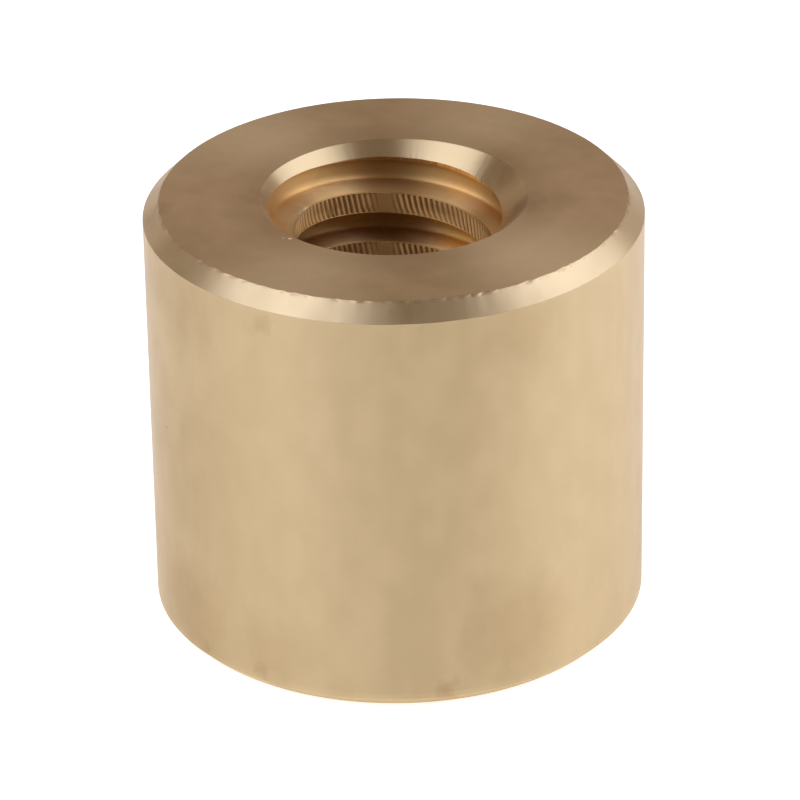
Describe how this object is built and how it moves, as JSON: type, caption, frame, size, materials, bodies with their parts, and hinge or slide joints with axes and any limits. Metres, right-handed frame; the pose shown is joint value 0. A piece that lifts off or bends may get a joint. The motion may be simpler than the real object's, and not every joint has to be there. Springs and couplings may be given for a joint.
{
  "type": "lead screw nut",
  "caption": "Round lead screw nut: a plain chamfered bronze cylinder with a right-hand trapezoidal thread and a countersink at each end.",
  "frame": {"origin": "middle of the lower end face, on the axis of the thread", "axes": "+Z along the bore to the upper end face, which has the wider outer chamfer; the middle of the groove breaks out of the upper end face at -Y"},
  "size_m": [0.045, 0.045, 0.04],
  "materials": {
    "turned_bronze": "leaded tin bronze, fine turned, satin on the end faces and outside, bright on the chamfers and countersinks"
  },
  "bodies": {
    "root": {"nut_body": "turned_bronze"}
  },
  "joints": []
}
